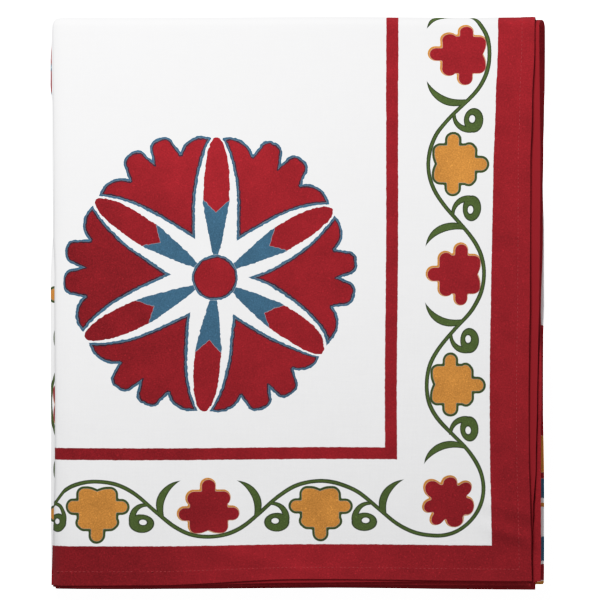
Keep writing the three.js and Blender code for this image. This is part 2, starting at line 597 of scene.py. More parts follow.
    def place(self, side: Station, length: Station, offset: float) -> Vector:
        """A point of the folded cloth.

        Args:
            side: Place along the sideways fold.
            length: Place along the lengthwise fold.
            offset: Distance from the middle of the cloth towards its printed face, in millimetres.

        Returns:
            The point in metres, in the frame of the model.
        """
        section, travel = self.trace(side, SIDE_EDGES, length.panels)
        across = section.x + offset * travel.y
        height = section.y - offset * travel.x + self.lift(side, length)
        run, travel = self.trace(length, END_EDGES, side.panels)
        point = Vector((across, run.x - height * travel.y, run.y + height * travel.x))
        return self.settle(point) * MM + self.shift

    def thickness(self, side: Station, length: Station) -> float:
        """Half the cloth's thickness, in millimetres, larger over the turned hem."""
        over = ease(self.hem_distance(side, length) - self.hem_width, *self.hem_step)
        return self.half_thickness + self.hem_extra * over

    def lattice(self, mesh: bmesh.types.BMesh, face: Face) -> list[bmesh.types.BMVert]:
        """Adds one face of the cloth as a grid and folds it.

        Args:
            mesh: The mesh that takes the grid.
            face: Which face of the cloth it is.

        Returns:
            The grid's vertices.
        """
        columns, rows = len(self.sides) - 1, len(self.lengths) - 1
        made = bmesh.ops.create_grid(mesh, x_segments=columns, y_segments=rows, size=1.0)["verts"]
        flat = mesh.verts.layers.float_vector["flat"]
        for vert in made:
            side = self.sides[round((vert.co.x + 1.0) / 2.0 * columns)]
            length = self.lengths[round((vert.co.y + 1.0) / 2.0 * rows)]
            vert[flat] = (side.flat, length.flat, face.value)
            vert.co = self.place(side, length, face.value * self.thickness(side, length))
        faces = {f for vert in made for f in vert.link_faces}
        for made_face in faces:
            made_face.material_index = 0 if face is Face.PRINTED else 1
        return made

    def unfold(self, mesh: bmesh.types.BMesh) -> None:
        """Writes the flat map for the print, and the map that the finish is baked through.

        Args:
            mesh: The folded cloth.
        """
        flat = mesh.verts.layers.float_vector["flat"]
        print_map = mesh.loops.layers.uv.new(FLAT_MAP)
        bake_map = mesh.loops.layers.uv.new(BAKE_MAP)
        for made_face in mesh.faces:
            for loop in made_face.loops:
                side, length, which = loop.vert[flat]
                loop[print_map].uv = (self.laid(side), length)
                loop[bake_map].uv = self.bake_place(side, length, which)

    def laid(self, side: float) -> float:
        """Distance along the cloth from its side hem, which its round side folds make longer.

        Args:
            side: The distance along its even sections, in millimetres.

        Returns:
            The distance on the cloth, in millimetres.
        """
        from_hem = min(side, self.width - side)
        share = unit((from_hem - self.side_fold) / self.round_width + 1.0)
        on_cloth = from_hem + self.round_length * share ** self.round_power
        return on_cloth if side * 2.0 <= self.width else self.sheet_width - on_cloth

    def bake_place(self, side: float, length: float, which: float) -> Pair:
        """Place on the bake map, which gives most of its room to the top panel's print.

        Args:
            side: Flat distance from the side hem.
            length: Flat distance from the front hem.
            which: The sign of the cloth's face.

        Returns:
            The two map coordinates, from 0 to 1.
        """
        def spread(flat: float, size: float, top: float) -> float:
            """Share of the map along one side, of which the top panel takes its own part."""
            panel_size = size / PANELS
            beyond = max(flat - panel_size, 0.0) / (size - panel_size)
            return top * min(flat / panel_size, 1.0) + (1.0 - top) * beyond

        start, room = self.bake_printed if which > 0 else self.bake_reverse
        across = spread(side, self.width, self.bake_top[0])
        along = spread(length, self.length, self.bake_top[1])
        return start + room * across, self.bake_length[0] + self.bake_length[1] * along

    def build(self) -> bpy.types.Object:
        """Makes the folded sheet, on the place of its CAD solid.

        Returns:
            The finished object, without materials.
        """
        mesh = bmesh.new()
        mesh.verts.layers.float_vector.new("flat")
        front = self.lattice(mesh, Face.PRINTED)
        back = self.lattice(mesh, Face.REVERSE)
        bmesh.ops.reverse_faces(mesh, faces=list({f for vert in front for f in vert.link_faces}))
        rim = [edge for edge in mesh.edges if edge.is_boundary]
        for made_face in bmesh.ops.bridge_loops(mesh, edges=rim)["faces"]:
            made_face.material_index = 0
        low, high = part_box(CLOTH_NODE)
        corners = [vert.co for vert in (*front, *back)]
        own_low = Vector(tuple(min(co[axis] for co in corners) for axis in range(3)))
        own_high = Vector(tuple(max(co[axis] for co in corners) for axis in range(3)))
        self.shift = (low + high - own_low - own_high) / 2.0
        self.shift.z = low.z - own_low.z
        bmesh.ops.translate(mesh, verts=mesh.verts, vec=self.shift)
        bmesh.ops.recalc_face_normals(mesh, faces=mesh.faces)
        self.unfold(mesh)
        return as_object(mesh, "cloth_sheet")


def placed(name: str, data: bpy.types.ID) -> bpy.types.Object:
    """Links a new object with the given data into the scene, at the origin."""
    made = bpy.data.objects.new(name, data)
    bpy.context.scene.collection.objects.link(made)
    return made


def as_object(mesh: bmesh.types.BMesh, name: str) -> bpy.types.Object:
    """Turns a finished bmesh into a smooth object at the origin.

    Args:
        mesh: The bmesh, which is freed.
        name: The name of the piece.

    Returns:
        The linked object.
    """
    for made_face in mesh.faces:
        made_face.smooth = True
    data = bpy.data.meshes.new(name)
    mesh.to_mesh(data)
    mesh.free()
    return placed(name, data)


@dataclass
class HemSewing:
    """The row of machine stitches that holds the turned hem, on the panels that show."""

    cloth: FoldedCloth
    inset: float = 9.6
    pitch: float = 3.3
    stitch: float = 2.3
    thread: float = 0.36
    sunk: float = 0.05
    facets: tuple[int, int] = (6, 5)

    def station(self, stations: Sequence[Station], flat: float) -> Station:
        """The place at a flat distance along a fold.

        Args:
            stations: The stations of that fold.
            flat: The distance in millimetres.

        Returns:
            A station between its two neighbours.
        """
        after = next(i for i, station in enumerate(stations) if station.flat >= flat and i > 0)
        low, high = stations[after - 1], stations[after]
        share = (flat - low.flat) / (high.flat - low.flat)
        start = low.share if low.run is high.run else 0.0
        panels = low.panels + (high.panels - low.panels) * share
        return Station(high.run, start + (high.share - start) * share, panels, flat)

    def add(self, mesh: bmesh.types.BMesh, side: float, end: float, along: Pair) -> None:
        """Adds one stitch, a rounded length of thread half sunk in the cloth.

        Args:
            mesh: The mesh that takes it.
            side: Flat distance of its middle from the side hem.
            end: Flat distance of its middle from the front hem.
            along: The direction that the row runs in on the flat cloth.
        """
        points = []
        for share in (-0.5, 0.5):
            across = self.station(self.cloth.sides, side + along[0] * self.stitch * share)
            length = self.station(self.cloth.lengths, end + along[1] * self.stitch * share)
            offset = self.cloth.thickness(across, length) - self.sunk
            points.append(self.cloth.place(across, length, offset))
        middle = (points[0] + points[1]) / 2.0
        run = points[1] - points[0]
        turned = Vector((1.0, 0.0, 0.0)).rotation_difference(run).to_matrix()
        round_about, high = self.facets
        ball = bmesh.ops.create_uvsphere(mesh, u_segments=round_about, v_segments=high, radius=0.5)["verts"]
        size = Vector((run.length, self.thread * MM, self.thread * MM))
        bmesh.ops.scale(mesh, verts=ball, vec=size)
        bmesh.ops.rotate(mesh, verts=ball, matrix=turned, cent=Vector())
        bmesh.ops.translate(mesh, verts=ball, vec=middle)

    def row(self, reach: float) -> list[float]:
        """Places of the stitches along a hem that is sewn as far as a reach."""
        count = int((reach - self.inset) / self.pitch)
        return [self.inset + (step + 0.5) * self.pitch for step in range(count)]

    def build(self) -> bpy.types.Object:
        """Sews the side hem of the top panel and of the lowest panel, and the front hem of the top panel.

        Returns:
            The stitches as one object.
        """
        mesh = bmesh.new()
        lowest = next(s.flat for s in self.cloth.lengths if s.run is BOTTOM_FOLD)
        for place in self.row(lowest):
            self.add(mesh, self.inset, place, (0.0, 1.0))
        for place in self.row(self.cloth.side_fold):
            self.add(mesh, place, self.inset, (1.0, 0.0))
        return as_object(mesh, "hem_sewing")


class Wire:
    """A number in a node tree, on which arithmetic adds Math nodes."""

    def __init__(self, socket: bpy.types.NodeSocket) -> None:
        """Holds the output socket that carries the number, and the tree that takes new nodes."""
        self.socket = socket
        self.tree = socket.id_data

    def math(self, operation: str, *others: "Wire | float") -> "Wire":
        """Adds a Math node that starts from this number.

        Args:
            operation: The node's operation.
            others: Its other inputs.

        Returns:
            The result.
        """
        node = self.tree.nodes.new("ShaderNodeMath")
        node.operation = operation
        for socket, value in zip(node.inputs, (self, *others)):
            plug(value, socket)
        return Wire(node.outputs[0])

    def __add__(self, other: "Wire | float") -> "Wire":
        """Sum."""
        return self.math("ADD", other)

    def __sub__(self, other: "Wire | float") -> "Wire":
        """Difference."""
        return self.math("SUBTRACT", other)

    def __rsub__(self, other: float) -> "Wire":
        """Difference from a plain number."""
        return self.math("MULTIPLY_ADD", -1.0, other)

    def __mul__(self, other: "Wire | float") -> "Wire":
        """Product."""
        return self.math("MULTIPLY", other)

    def __truediv__(self, other: "Wire | float") -> "Wire":
        """Quotient."""
        return self.math("DIVIDE", other)

    def __abs__(self) -> "Wire":
        """Size without its sign."""
        return self.math("ABSOLUTE")

    def low(self, *others: "Wire | float") -> "Wire":
        """The lowest of several numbers, or the union of several distances."""
        found = self
        for other in others:
            found = found.math("MINIMUM", other)
        return found

    def high(self, *others: "Wire | float") -> "Wire":
        """The highest of several numbers, or the overlap of several distances."""
        found = self
        for other in others:
            found = found.math("MAXIMUM", other)
        return found

    def blend(self, other: "Wire", reach: float) -> "Wire":
        """Union of two distances with a rounded inner corner."""
        return self.math("SMOOTH_MIN", other, reach)

    def step(self, start: float, end: float) -> "Wire":
        """Soft step from 0 at start to 1 at end."""
        node = self.tree.nodes.new("ShaderNodeMapRange")
        node.interpolation_type = "SMOOTHSTEP"
        plug(self, node.inputs["Value"])
        dial(node, {"From Min": start, "From Max": end})
        return Wire(node.outputs["Result"])

    def pick(self, yes: "Wire | float", no: "Wire | float") -> "Wire":
        """One of two numbers, by this mask."""
        return self * (yes - no) + no

    def cover(self) -> "Wire":
        """Mask of the inside of a signed distance, with a soft rim."""
        return self.step(SOFT_RIM, -SOFT_RIM)

    def span(self, other: "Wire | float") -> "Wire":
        """Length of the diagonal of two numbers."""
        pair = self.tree.nodes.new("ShaderNodeCombineXYZ")
        plug(self, pair.inputs[0])
        plug(other, pair.inputs[1])
        size = self.tree.nodes.new("ShaderNodeVectorMath")
        size.operation = "LENGTH"
        self.tree.links.new(pair.outputs[0], size.inputs[0])
        return Wire(size.outputs["Value"])

    def band(self, start: float, end: float) -> "Wire":
        """Mask of the stretch between two values."""
        return (abs(self - (start + end) / 2.0) - (end - start) / 2.0).cover()

    def mix(self, low: "Wire | tuple", high: "Wire | tuple") -> "Wire":
        """Mixes two colours by this mask.

        Args:
            low: The colour where the mask is 0.
            high: The colour where it is 1.

        Returns:
            The mixed colour.
        """
        node = self.tree.nodes.new("ShaderNodeMix")
        node.data_type = "RGBA"
        for place, value in ((0, self), (6, low), (7, high)):
            plug(value, node.inputs[place])
        return Wire(node.outputs[2])


# A place on the flat cloth: its distances from the side hem and from the front hem
Place = tuple[Wire, Wire]


def plug(value: "Wire | float | tuple", socket: bpy.types.NodeSocket) -> None:
    """Links a wire to a socket, or sets the socket to a plain value.

    Args:
        value: A wire, a number or a colour.
        socket: The input socket.
    """
    if isinstance(value, Wire):
        value.tree.links.new(value.socket, socket)
    else:
        socket.default_value = value


def dial(node: bpy.types.Node, values: Mapping[str, object]) -> None:
    """Sets inputs of a node by their names."""
    for label, value in values.items():
        node.inputs[label].default_value = value


class Group:
    """A shader node group with named inputs and outputs."""

    def __init__(self, name: str, inputs: Sequence[str], outputs: Mapping[str, str]) -> None:
        """Makes an empty group.

        Args:
            name: The group's name.
            inputs: Names of its number inputs.
            outputs: Names of its outputs, each with Float or Color.
        """
        self.tree = bpy.data.node_groups.new(name, "ShaderNodeTree")
        for label in inputs:
            self.tree.interface.new_socket(label, in_out="INPUT", socket_type="NodeSocketFloat")
        for label, kind in outputs.items():
            self.tree.interface.new_socket(label, in_out="OUTPUT", socket_type=f"NodeSocket{kind}")
        entry = self.tree.nodes.new("NodeGroupInput")
        self.exit = self.tree.nodes.new("NodeGroupOutput")
        self.inputs = {label: Wire(entry.outputs[label]) for label in inputs}

    def put(self, label: str, value: Wire) -> None:
        """Sends a value to one of the group's outputs."""
        plug(value, self.exit.inputs[label])

    def use(self, **values: Wire) -> dict[str, Wire]:
        """Places the group in the tree of its inputs.

        Args:
            values: Its inputs by name.

        Returns:
            Its outputs by name.
        """
        node = next(iter(values.values())).tree.nodes.new("ShaderNodeGroup")
        node.node_tree = self.tree
        for label, value in values.items():
            plug(value, node.inputs[label])
        return {socket.name: Wire(socket) for socket in node.outputs}


def disc(x: Wire, y: Wire, shape: Triple) -> Wire:
    """Signed distance to a disc, given as the two places of its middle and its radius."""
    return (x - shape[0]).span(y - shape[1]) - shape[2]


def oval(x: Wire, y: Wire, middle: Pair, size: Pair) -> Wire:
    """Signed distance to an oval, given as its middle and its two half sizes; true along the first."""
    return (((x - middle[0]) / size[0]).span((y - middle[1]) / size[1]) - 1.0) * size[0]


def toward(angle: Wire, way: float, focus: float) -> Wire:
    """Mask of the directions near one way, narrower with a higher focus."""
    return (angle - way).math("COSINE").high(0.0).math("POWER", focus)


@dataclass(frozen=True)
class Noise:
    """A noise over the flat cloth: the size of its blots in millimetres, its finer octaves and its seed."""

    size: float
    detail: float
    seed: float

    def node(self, place: Place) -> bpy.types.Node:
        """Adds the noise to the tree of a place.

        Args:
            place: The flat coordinates in millimetres.

        Returns:
            The noise node.
        """
        tree = place[0].tree
        point = tree.nodes.new("ShaderNodeCombineXYZ")
        for value, socket in zip((*place, self.seed), point.inputs):
            plug(value, socket)
        node = tree.nodes.new("ShaderNodeTexNoise")
        dial(node, {"Scale": 1.0 / self.size, "Detail": self.detail})
        tree.links.new(point.outputs[0], node.inputs["Vector"])
        return node

    def value(self, place: Place) -> Wire:
        """Value of the noise at a place, about 0.5."""
        return Wire(self.node(place).outputs[0])

    def move(self, place: Place, reach: float) -> Place:
        """Moves a place a little to both sides, as a hand strays from its rule.

        Args:
            place: The flat coordinates in millimetres.
            reach: How far it moves at most.

        Returns:
            The moved place.
        """
        tree = place[0].tree
        parts = tree.nodes.new("ShaderNodeSeparateColor")
        tree.links.new(self.node(place).outputs["Color"], parts.inputs[0])
        side, end = (
            start + (Wire(part) - 0.5) * (2.0 * reach) for start, part in zip(place, parts.outputs)
        )
        return side, end


def linear(red: int, green: int, blue: int) -> tuple[float, float, float, float]:
    """Turns a display colour of 0 to 255 into the linear one that shaders use."""
    parts = [part / 255.0 for part in (red, green, blue)]
    bent = [part / 12.92 if part <= 0.04045 else ((part + 0.055) / 1.055) ** 2.4 for part in parts]
    return (*bent, 1.0)


@dataclass(frozen=True)
class Inks:
    """The printing inks and the bare cotton."""

    ground: tuple[float, ...] = linear(243, 243, 244)
    red: tuple[float, ...] = linear(143, 28, 36)
    ochre: tuple[float, ...] = linear(197, 133, 60)
    blue: tuple[float, ...] = linear(58, 96, 121)
    green: tuple[float, ...] = linear(73, 92, 46)
    deep_green: tuple[float, ...] = linear(40, 54, 28)
    overlap: tuple[float, ...] = linear(46, 36, 52)


@dataclass(frozen=True)
class BorderFlower:
    """Border flower: a squarish heart with three petals and four broad lobes, in millimetres."""

    heart: Triple = (14.6, 15.5, 4.5)
    lobe: Triple = (11.6, 10.6, 5.0)
    long_petal: float = 20.3
    long_width: float = 4.7
    side_petal: float = 19.1
    side_width: float = 4.4
    side_drop: float = 1.4
    notch: float = -13.2
    notch_slope: float = 2.4
    soft: float = 1.8

    def distance(self, along: Wire, out: Wire, trim: Wire) -> Wire:
        """Signed distance to the edge of the flower's ink.

        Args:
            along: Place across the flower's axis.
            out: Place along the axis, positive at the long petal.
            trim: How much smaller the lobes are.

        Returns:
            The distance, negative inside.
        """
        side = abs(along)
        wide, high, corner = self.heart
        beyond = (abs(out) - (high - corner)).high(0.0)
        heart = (side - (wide - corner)).high(0.0).span(beyond) - corner
        long_petal = side.span(out - out.high(0.0).low(self.long_petal)) - self.long_width
        side_petal = (side - side.low(self.side_petal)).span(out + self.side_drop) - self.side_width
        notch = ((self.notch - out) * self.notch_slope - side) / math.hypot(self.notch_slope, 1.0)
        body = heart.low(disc(side, out, self.lobe) + trim).math("SMOOTH_MAX", notch, self.soft)
        return body.blend(long_petal, self.soft).blend(side_petal, self.soft)


@dataclass(frozen=True)
class VineBorder:
    """Flowering vine that swings along a border, in millimetres from the two nearest edges of the cloth."""

    side_middle: float = 58.2
    end_middle: float = 57.0
    swing: float = 21.5
    fullness: float = 0.195
    side_inner: float = 0.6
    stroke: float = 1.6
    rim: float = 0.75
    outline: float = 1.9
    outline_depth: float = 0.55
    red_spread: float = 0.6
    ochre_trim: float = 1.2
    under_width: float = 0.95
    misprint: float = 0.6
    side_first: float = 155.2
    side_pitch: float = 87.0
    side_corner: float = 82.2
    end_first: float = 165.6
    end_pitch: float = 88.1
    end_corner: float = 90.6
    side_makeup: float = 0.47
    end_makeup: float = 0.23
    makeup_span: Pair = (400.0, 760.0)
    flower_shift: float = 2.6
    end_ochre_pull: float = 2.3
    corner_middle: Pair = (75.0, 73.0)
    corner_radius: Pair = (38.3, 37.5)
    corner_flower: Pair = (64.0, 62.5)
    corner_petal: Pair = (15.5, 5.6)
    corner_heart: float = 14.8
    corner_petals: int = 7
    corner_stretch: Pair = (4.0, 0.06)
    corner_lean: Triple = (0.066, -0.119, -0.049)
    corner_soft: float = 2.6
    bare_corner: float = 0.12
    away: float = 100.0
    leaf_outer: Triple = (3.5, 20.0, 20.9)
    leaf_inner: Triple = (-0.9, 5.0, 31.1)
    side_leaf_pull: float = -1.5
    end_leaf_pull: float = 1.4
    leaf_plump: float = 0.45
    end_leaf: float = 1.1
    curl_place: Pair = (-11.0, 34.6)
    curl_size: Pair = (7.4, 10.1)
    eye_place: Pair = (-9.9, 35.8)
    eye_size: Pair = (2.1, 2.9)
    stem_outer: Triple = (-8.2, 37.7, 13.3)
    stem_inner: Triple = (-6.7, 39.2, 9.1)
    stem_reach: Pair = (-10.0, 39.8)
    flower: BorderFlower = BorderFlower()

    def build(self) -> Group:
        """Makes the node group.

        Returns:
            The group, with masks for the inks and for their overlaps.
        """
        labels = ("Green", "Deep", "Red", "Ochre")
        group = Group("Vine border", ("Side", "End"), {label: "Float" for label in labels})
        side, end = group.inputs["Side"], group.inputs["End"]
        is_side = side.math("LESS_THAN", end)
        along = side.high(end)
        across = side.low(end) - is_side.pick(self.side_middle, self.end_middle)

        first = is_side.pick(self.side_first, self.end_first)
        near = is_side.pick(self.side_corner, self.end_corner)
        far = is_side.pick(self.side_pitch, self.end_pitch)
        pitch = along.math("GREATER_THAN", first).pick(far, near)
        makeup = is_side.pick(self.side_makeup, self.end_makeup)
        phase = (along - first) / pitch + 1.0 + along.step(*self.makeup_span) * makeup
        vine = self.vine(side, end, along, across, phase, pitch)

        number = phase.math("ROUND")
        odd = number.math("MODULO", 2.0)
        even = 1.0 - odd
        shift = self.flower_shift - odd * (1.0 - is_side) * self.end_ochre_pull
        beside, out = (phase - number) * pitch, across * (even - odd) + shift
        clear = number.math("LESS_THAN", 0.5) * self.away
        trim, spread = odd * self.ochre_trim, even * self.red_spread

        def bloom(by: float) -> Wire:
            """Signed distance to the flowers, moved by a misprint."""
            petals = self.flower.distance(beside - by, out - by, trim) - spread + clear
            return petals.low(self.corner(side - by, end - by))

        petals = bloom(0.0)
        under = bloom(self.misprint) - self.under_width
        rim = (petals - self.outline).cover() * odd
        petals = petals.cover()
        rim = rim * (1.0 - petals)

        group.put("Green", (vine + self.rim).cover().high(rim * (1.0 - self.outline_depth)))
        group.put("Deep", vine.cover().high(rim))
        group.put("Red", petals * even)
        group.put("Ochre", (petals * odd).high(under.cover() * even * (1.0 - petals)))
        return group

    def vine(self, side: Wire, end: Wire, along: Wire, across: Wire, phase: Wire, pitch: Wire) -> Wire:
        """Signed distance to the vine's stem with its crescent leaves and curls.

        Args:
            side: Distance from the side edge.
            end: Distance from the end edge.
            along: Distance along the border.
            across: Distance from the border's middle line, positive inwards.
            phase: Flowers passed along the border.
            pitch: Distance from flower to flower.

        Returns:
            The distance, negative inside.
        """
        is_end = side.math("GREATER_THAN", end)
        angle = phase * math.pi
        turned = angle.math("COSINE")
        bend = (turned * turned * -self.fullness + (1.0 + self.fullness)) * turned * self.swing
        bend = bend + (turned - 1.0) * (1.0 - is_end) * self.side_inner
        slope = angle.math("SINE") * (self.swing * math.pi * (1.0 + self.fullness)) / pitch
        off = across + bend
        stem = abs(off / (slope * slope + 1.0).math("SQRT"))
        ring = abs(oval(side, end, self.corner_middle, self.corner_radius))
        in_corner = along.math("LESS_THAN", self.corner_middle[0] - 1.0)
        stem = in_corner.pick(ring, stem) - self.stroke

        from_red = abs(phase - (phase * 0.5).math("ROUND") * 2.0)
        pull = is_end.pick(self.end_leaf_pull, self.side_leaf_pull)
        place = from_red * self.side_pitch - phase.math("LESS_THAN", 1.0) * pull
        leaf = self.leaf(across * is_end.pick(self.end_leaf, 1.0), place, off)
        curl = self.curl(across, (1.0 - from_red) * pitch)
        clear = phase.math("LESS_THAN", self.bare_corner) * self.away
        return stem.low(leaf + clear, curl + clear)

    def leaf(self, across: Wire, along: Wire, off: Wire) -> Wire:
        """Signed distance to a crescent leaf that springs from the vine beside a red flower.

        Args:
            across: Distance from the border's middle line.
            along: Distance from the red flower.
            off: Distance inwards from the vine.

        Returns:
            The distance, negative inside.
        """
        belly = disc(across, along, self.leaf_outer)
        hollow = disc(across, along, self.leaf_inner) * -1.0
        return belly.high(hollow, off * -1.0) - self.leaf_plump

    def curl(self, across: Wire, along: Wire) -> Wire:
        """Signed distance to a curl that rolls up outside the vine beside an ochre flower.

        Args:
            across: Distance from the border's middle line.
            along: Distance from the ochre flower.

        Returns:
            The distance, negative inside.
        """
        knob = oval(across, along, self.curl_place, self.curl_size)
        eye = oval(across, along, self.eye_place, self.eye_size) * -1.0
        stem = disc(across, along, self.stem_outer).high(disc(across, along, self.stem_inner) * -1.0)
        stem = stem.high(self.stem_reach[0] - across, along - self.stem_reach[1])
        return knob.high(eye).low(stem)

    def corner(self, side: Wire, end: Wire) -> Wire:
        """Signed distance to the corner flower, whose seven petals are nearly even.

        Args:
            side: Distance from the side edge.
            end: Distance from the end edge.

        Returns:
            The distance, negative inside.
        """
        right, up = self.corner_flower[0] - side, end - self.corner_flower[1]
        angle = right.math("ARCTAN2", up)
        waves, size = self.corner_stretch
        radius = right.span(up) * ((angle * waves).math("COSINE") * size + 1.0)
        once, twice, turn_by = self.corner_lean
        turned = angle + angle.math("COSINE") * once + (angle * 2.0).math("COSINE") * twice + turn_by
        fold = turned.math("PINGPONG", math.pi / self.corner_petals)
        reach, width = self.corner_petal
        petal = (radius * fold.math("COSINE") - reach).span(radius * fold.math("SINE")) - width
        return petal.blend(radius - self.corner_heart, self.corner_soft)


@dataclass(frozen=True)
class Rosette:
    """Six-spoked rosette: a disc, six lobed palmettes and six leaves in forked cups between them."""

    disc: float = 18.2
    size: float = 1.016
    ring: float = 1.5
    sector: float = math.radians(30.0)
    channel: float = 16.4
    channel_start: float = 43.5
    channel_reach: float = 70.3
    channel_power: float = 2.65
    channel_slant: float = 0.92
    long_palmette: float = 3.4
    fan: float = 98.0
    horn: Triple = (88.6, 11.0, 18.4)
    lobe_angle: float = math.radians(23.65)
    lobe_reach: float = 113.4
    lobe_width: float = 9.8
    lobe_corner: float = 8.0
    lobe_taper: float = 0.28
    outline: float = 1.7
    overlap: float = 1.0
    leaf_width: float = 10.2
    leaf_middle: float = 69.5
    leaf_reach: float = 37.1
    fork: float = 49.4
    fork_slope: float = 1.0
    fork_slant: float = 0.7
    cup_start: float = 12.6
    cup_length: float = 45.8
    cup_power: float = 0.7
    cup_extra: float = 0.3
    long_side: float = math.radians(198.0)
    long_share: float = 0.03
    focus: float = 8.0
    drift: Pair = (0.0265, -0.0235)
    lean: Triple = (0.0459, -0.0332, -0.0326)
    bent_spoke: float = math.radians(-35.2)
    bent_by: float = 0.054
    bent_focus: float = 200.0

    def build(self) -> Group:
        """Makes the node group.

        Returns:
            The group, with masks for the red and blue inks and for their overlap.
        """
        labels = ("Red", "Blue", "Overlap")
        group = Group("Rosette", ("Right", "Up"), {label: "Float" for label in labels})
        right, up = group.inputs["Right"], group.inputs["Up"]
        middle = right.span(up)
        angle = up.math("ARCTAN2", right)
        sine, cosine = angle.math("SINE"), angle.math("COSINE")
        longer = toward(angle, self.long_side, self.focus) * self.long_share
        drift = cosine * self.drift[0] + sine * self.drift[1]
        radius = middle * (1.0 / self.size - longer + drift)
        lean = cosine * self.lean[1] + sine * self.lean[2] + (self.lean[0] - math.pi / 2.0)
        bent = toward(angle, self.bent_spoke, self.bent_focus) * self.bent_by
        fold = (angle + lean + bent).math("PINGPONG", self.sector)
        along, across = radius * fold.math("COSINE"), radius * fold.math("SINE")

        rim = self.palmette(radius, along, across, toward(angle, 0.0, self.focus) * self.long_palmette)
        whole, inner = rim.cover(), (rim + self.outline).cover()
        core = (rim + (self.outline + self.overlap)).cover()
        disc_whole = (middle - self.disc).cover()
        disc_inner = (middle - (self.disc - self.ring)).cover()
        disc_core = (middle - (self.disc - self.ring - self.overlap)).cover()
        leaf, cup = self.spoke(along, across)
        group.put("Red", inner.high(leaf, disc_inner))
        group.put("Blue", (whole - inner).high(cup * (1.0 - disc_whole), disc_whole - disc_inner))
        group.put("Overlap", (inner - core).high(disc_inner - disc_core))
        return group

    def palmette(self, radius: Wire, along: Wire, across: Wire, spread: Wire) -> Wire:
        """Signed distance to the palmette beside a spoke.

        Args:
            radius: Distance from the rosette's middle.
            along: Distance along the nearest spoke.
            across: Distance from the nearest spoke.
            spread: How much nearer to the spoke the palmette's foot reaches.

        Returns:
            The distance, negative inside.
        """
        narrowing = (along - self.channel_start).high(0.0) / self.channel_reach
        narrowing = 1.0 - narrowing.math("POWER", self.channel_power)
        foot = along.step(self.channel_start, self.disc)
        channel = (narrowing * self.channel - foot * spread - across) * self.channel_slant
        horn = disc(along, across, self.horn)
        sine, cosine = math.sin(self.lobe_angle), math.cos(self.lobe_angle)
        reach = along * cosine + across * sine - (self.lobe_reach - self.lobe_corner)
        width = abs(along * sine - across * cosine) - (self.lobe_width - self.lobe_corner)
        width = width + reach.low(0.0) * self.lobe_taper
        lobe = reach.high(0.0).span(width.high(0.0)) - self.lobe_corner
        return (radius - self.fan).low(horn, lobe).high(channel)

    def spoke(self, along: Wire, across: Wire) -> tuple[Wire, Wire]:
        """Masks of a spoke's red leaf and of the blue cup that holds it.

        Args:
            along: Distance along the spoke.
            across: Distance from the spoke.

        Returns:
            The masks of the leaf and of the cup.
        """
        taper = (along - self.leaf_middle).high(0.0) / self.leaf_reach
        taper = (1.0 - taper * taper).high(0.0).math("SQRT") * self.leaf_width
        fork = along - across * self.fork_slope - self.fork
        tip = along - (self.leaf_middle + self.leaf_reach)
        leaf = (across - taper).high(fork * -self.fork_slant, tip).cover()
        widening = ((along - self.cup_start) / self.cup_length).high(0.0).math("POWER", self.cup_power)
        widening = (widening * (self.leaf_width + self.cup_extra)).low(self.leaf_width)
        cup = (across - widening).high(fork * self.fork_slant).cover()
        return leaf, cup


@dataclass(frozen=True)
class Medallion:
    """Ringed medallion in the middle of the cloth, in millimetres from its centre."""

    petals: int = 8
    scallop: float = 0.05
    scallop_phase: float = 1.2
    red: tuple[Pair, ...] = ((15.4, 27.8), (95.5, 100.4), (130.2, 219.0))
    blue: tuple[Pair, ...] = ((30.2, 49.0), (79.8, 95.5))
    ochre: tuple[Pair, ...] = ((-15.0, 15.0), (72.6, 75.8), (100.4, 130.2))

    def build(self) -> Group:
        """Makes the node group.

        Returns:
            The group, with masks for the red, blue and ochre inks.
        """
        bands = {"Red": self.red, "Blue": self.blue, "Ochre": self.ochre}
        group = Group("Medallion", ("Right", "Up"), {label: "Float" for label in bands})
        right, up = group.inputs["Right"], group.inputs["Up"]
        angle = up.math("ARCTAN2", right) * float(self.petals) + self.scallop_phase
        radius = right.span(up) * (angle.math("COSINE") * self.scallop + 1.0)
        for label, rings in bands.items():
            masks = [radius.band(*ring) for ring in rings]
            group.put(label, masks[0].high(*masks[1:]))
        return group


